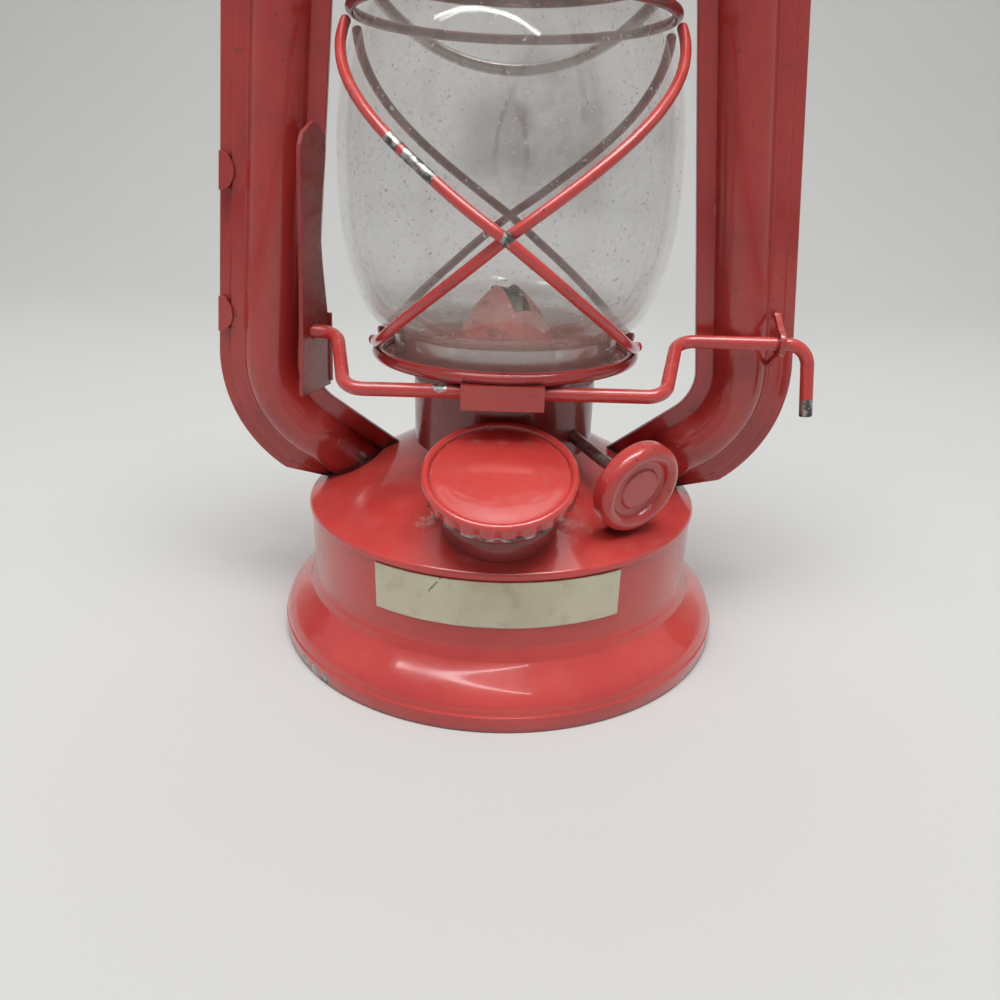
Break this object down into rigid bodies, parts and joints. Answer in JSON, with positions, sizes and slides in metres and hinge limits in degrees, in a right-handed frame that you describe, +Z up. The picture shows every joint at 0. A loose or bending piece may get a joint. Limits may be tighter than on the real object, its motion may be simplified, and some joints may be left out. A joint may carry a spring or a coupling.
{
  "type": "hurricane lantern",
  "caption": "Red enamelled tubular hurricane lantern with a lifting glass globe, crossed wire guards, a flat-wick burner, a screw filler cap and a swinging bail.",
  "frame": {"origin": "centre of the base, on the plane that the lantern stands on", "axes": "+Z up along the globe's axis, -Y towards the filler cap and label, +X towards the lift handle"},
  "size_m": [0.1389, 0.11, 0.2452],
  "materials": {
    "red_enamel": "worn gloss enamel on tin plate",
    "steel": "bare wire and pressed steel",
    "brass": "dull brass",
    "glass": "clear glass, dusty",
    "cork": "pressed cork",
    "paper": "matt sticker paper",
    "cotton": "woven flat wick"
  },
  "bodies": {
    "frame": {"tank_shell": "red_enamel", "tank_bottom": "red_enamel", "filler_neck": "red_enamel", "fill_label": "paper", "left_tube_front": "red_enamel", "left_tube_rear": "red_enamel", "right_tube_front": "red_enamel", "right_tube_rear": "red_enamel", "seam_clips": "red_enamel", "lift_bracket": "red_enamel", "lift_staple": "red_enamel", "burner_base": "steel", "burner_collar": "red_enamel", "burner_cone": "red_enamel", "wick_tube": "brass", "crown": "red_enamel", "bail_ears": "red_enamel", "hood_spring": "steel"},
    "carriage": {"globe_plate": "red_enamel", "globe": "glass", "front_guard": "red_enamel", "rear_guard": "red_enamel", "guard_ring": "red_enamel"},
    "lift": {"lift_wire": "red_enamel"},
    "hood_body": {"chimney": "red_enamel", "globe_cap": "red_enamel", "hood": "red_enamel", "hood_eye": "red_enamel"},
    "finger_ring_body": {"hood_ring": "steel"},
    "cap_washer": {"cap_gasket": "cork"},
    "cap": {"filler_cap": "red_enamel"},
    "wick_raiser": {"wick_wheel": "steel", "wick_spindle": "steel", "wick_knob": "red_enamel"},
    "wick_body": {"wick": "cotton"},
    "bail_body": {"bail": "steel"}
  },
  "joints": [
    {"name": "lift_crank", "type": "hinge", "parent": "frame", "child": "lift", "pos_m": [0, -0.0086, 0.0726], "axis": [-1, 0, 0], "range_deg": [0, 42.7]},
    {"name": "globe_raise", "type": "slide", "parent": "frame", "child": "carriage", "axis": [0, 0, 1], "range_m": [0, 0.015], "deforming": ["hood_spring"]},
    {"name": "hood_lift", "type": "slide", "parent": "carriage", "child": "hood_body", "axis": [0, 0, 1], "range_m": [0, 0.01], "deforming": ["hood_spring"]},
    {"name": "finger_ring", "type": "hinge", "parent": "hood_body", "child": "finger_ring_body", "pos_m": [0, 0, 0.2267], "axis": [1, 0, 0], "range_deg": [-80, 80]},
    {"name": "cap_rise", "type": "slide", "parent": "frame", "child": "cap_washer", "axis": [0, -0.3746, 0.9272], "range_m": [0, 0.0045]},
    {"name": "cap_turn", "type": "hinge", "parent": "cap_washer", "child": "cap", "pos_m": [0, -0.03372, 0.04003], "axis": [0, -0.3746, 0.9272], "range_deg": [0, 540]},
    {"name": "knob_turn", "type": "hinge", "parent": "frame", "child": "wick_raiser", "pos_m": [0.00435, 0.00294, 0.0559], "axis": [-0.547, 0.8109, 0.2079], "range_deg": [-120, 90]},
    {"name": "wick_raise", "type": "slide", "parent": "frame", "child": "wick_body", "axis": [0, 0, 1], "range_m": [-0.009, 0.007]},
    {"name": "bail_swing", "type": "hinge", "parent": "frame", "child": "bail_body", "pos_m": [0, 0, 0.19885], "axis": [1, 0, 0], "range_deg": [0, 297]}
  ],
  "couplings": [
    {"joint": "lift_crank", "follows": "globe_raise", "rad_per_m": 49.684},
    {"joint": "cap_rise", "follows": "cap_turn", "m_per_rad": 0.00047746},
    {"joint": "wick_raise", "follows": "knob_turn", "m_per_rad": 0.0039}
  ]
}
